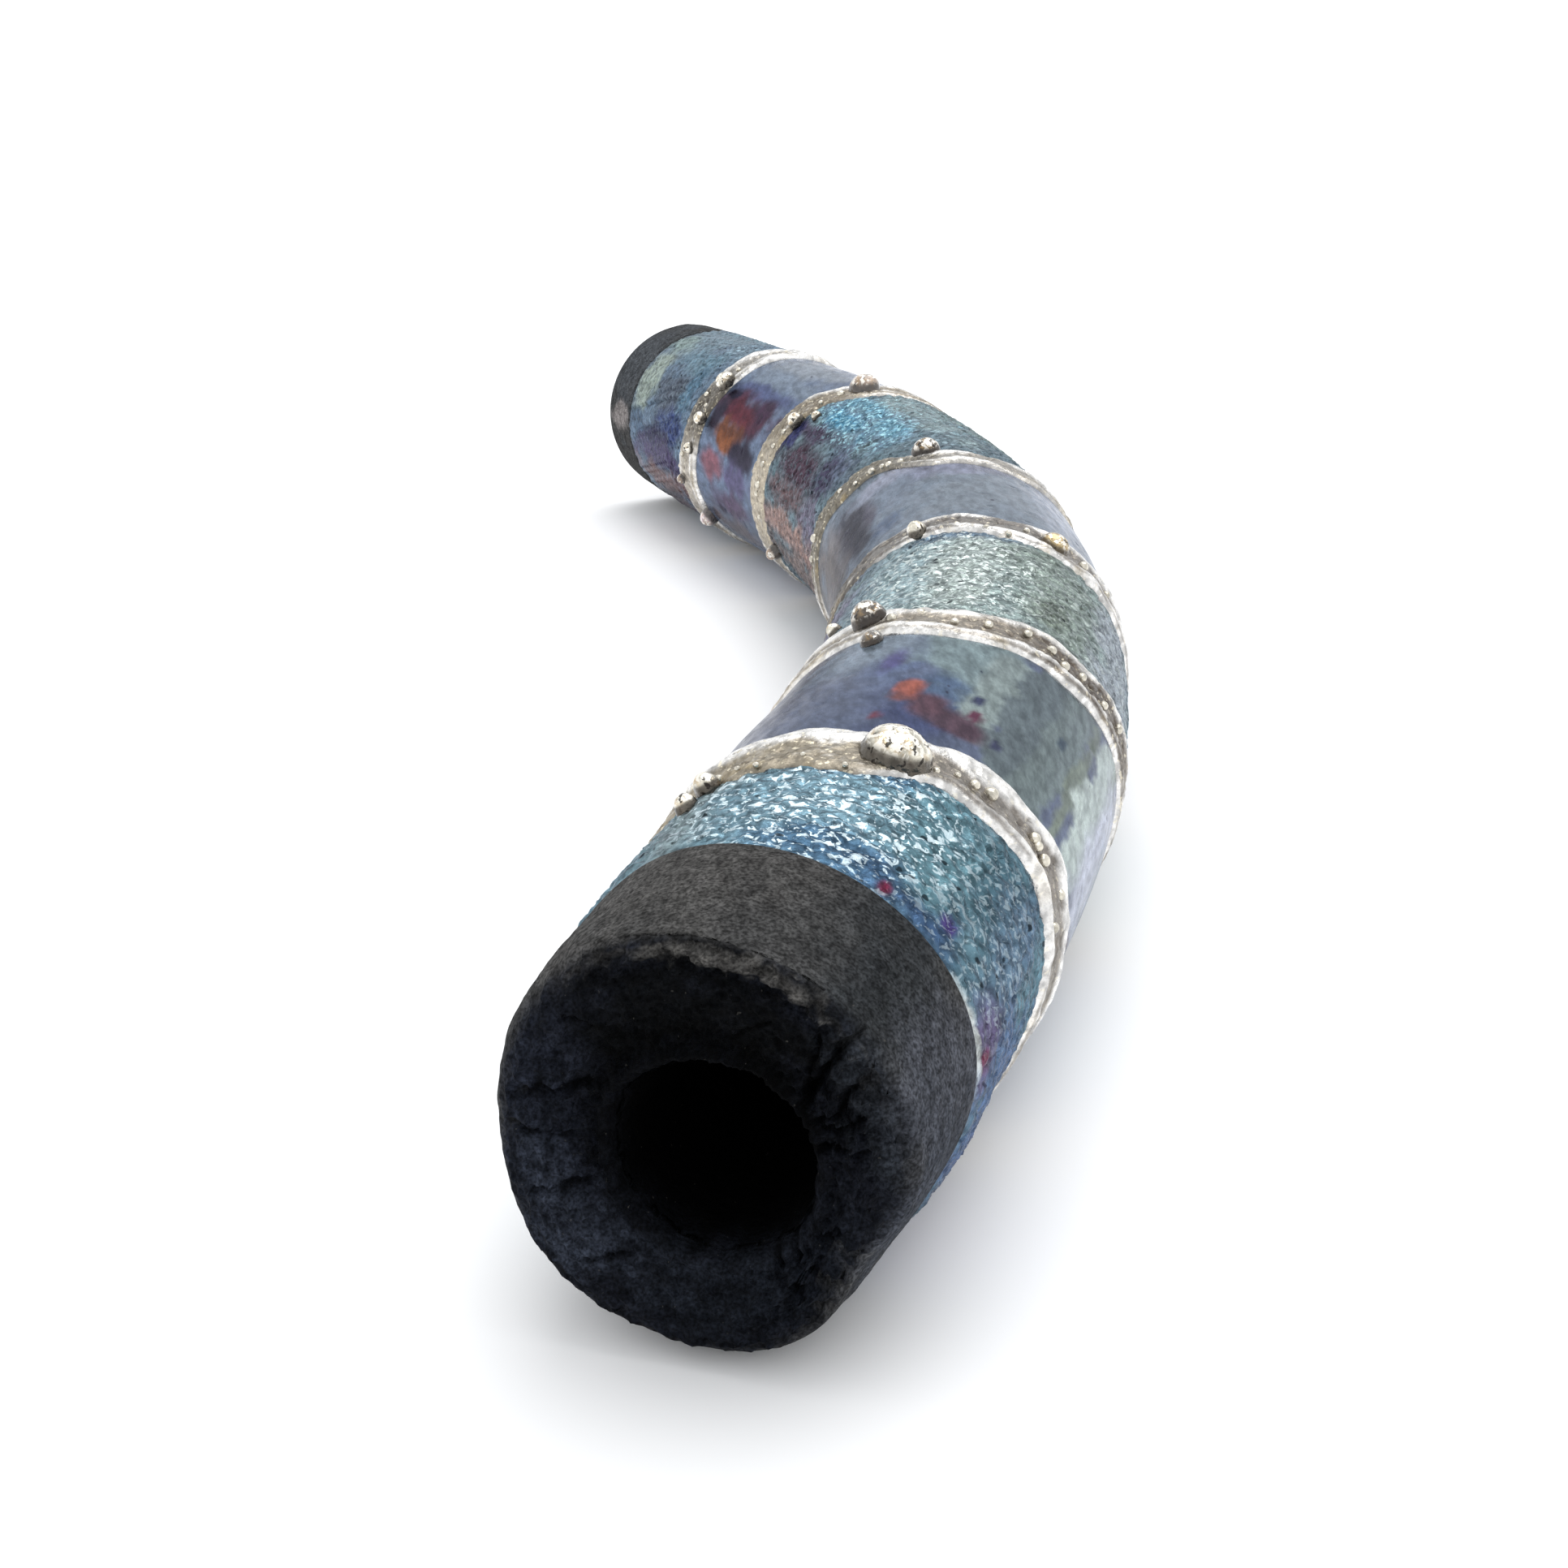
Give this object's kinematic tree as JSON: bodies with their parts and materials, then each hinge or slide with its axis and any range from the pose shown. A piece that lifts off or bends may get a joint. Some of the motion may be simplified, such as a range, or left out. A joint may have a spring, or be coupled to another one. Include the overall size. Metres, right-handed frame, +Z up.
{
  "type": "curved tube bead",
  "caption": "Curved handmade ceramic tube bead: bored through, bare dark ends, lustre-glazed bands parted by raised silver ridges, with round melted drops.",
  "frame": {"origin": "centre of the footprint's bounding box, on the surface the bead lies on", "axes": "+X along the length, from the end nearer the camera to the far end; +Y to the inner side of the bend; +Z up"},
  "size_m": [0.1182, 0.028, 0.015],
  "materials": {
    "bare_clay": "matte, smoke-blackened, bare fired clay",
    "band_1_glaze": "coarse sparkling lustre glaze",
    "band_2_glaze": "smooth glossy lustre glaze",
    "band_3_glaze": "coarse sparkling lustre glaze",
    "band_4_glaze": "smooth glossy lustre glaze",
    "band_5_glaze": "coarse sparkling lustre glaze",
    "band_6_glaze": "smooth glossy lustre glaze",
    "band_7_glaze": "coarse sparkling lustre glaze",
    "silver_lustre": "bright metallic lustre, pitted crown",
    "silver_drop": "glossy melted drop",
    "gold_drop": "glossy melted drop",
    "umber_drop": "glossy melted drop",
    "amber_drop": "glossy melted drop",
    "rose_drop": "glossy melted drop"
  },
  "bodies": {
    "root": {"clay_tube": "bare_clay", "glaze_band_1": "band_1_glaze", "glaze_band_2": "band_2_glaze", "glaze_band_3": "band_3_glaze", "glaze_band_4": "band_4_glaze", "glaze_band_5": "band_5_glaze", "glaze_band_6": "band_6_glaze", "glaze_band_7": "band_7_glaze", "silver_ridge_1": "silver_lustre", "silver_ridge_2": "silver_lustre", "silver_ridge_3": "silver_lustre", "silver_ridge_4": "silver_lustre", "silver_ridge_5": "silver_lustre", "silver_ridge_6": "silver_lustre", "drop_1_1": "silver_drop", "drop_1_2": "silver_drop", "drop_1_3": "silver_drop", "drop_2_1": "umber_drop", "drop_2_2": "umber_drop", "drop_2_3": "silver_drop", "drop_3_1": "silver_drop", "drop_3_2": "gold_drop", "drop_4_1": "umber_drop", "drop_5_1": "amber_drop", "drop_5_2": "silver_drop", "drop_5_3": "silver_drop", "drop_5_4": "amber_drop", "drop_6_1": "silver_drop", "drop_6_2": "silver_drop", "drop_6_3": "silver_drop", "drop_6_4": "amber_drop", "drop_6_5": "rose_drop"}
  },
  "joints": []
}
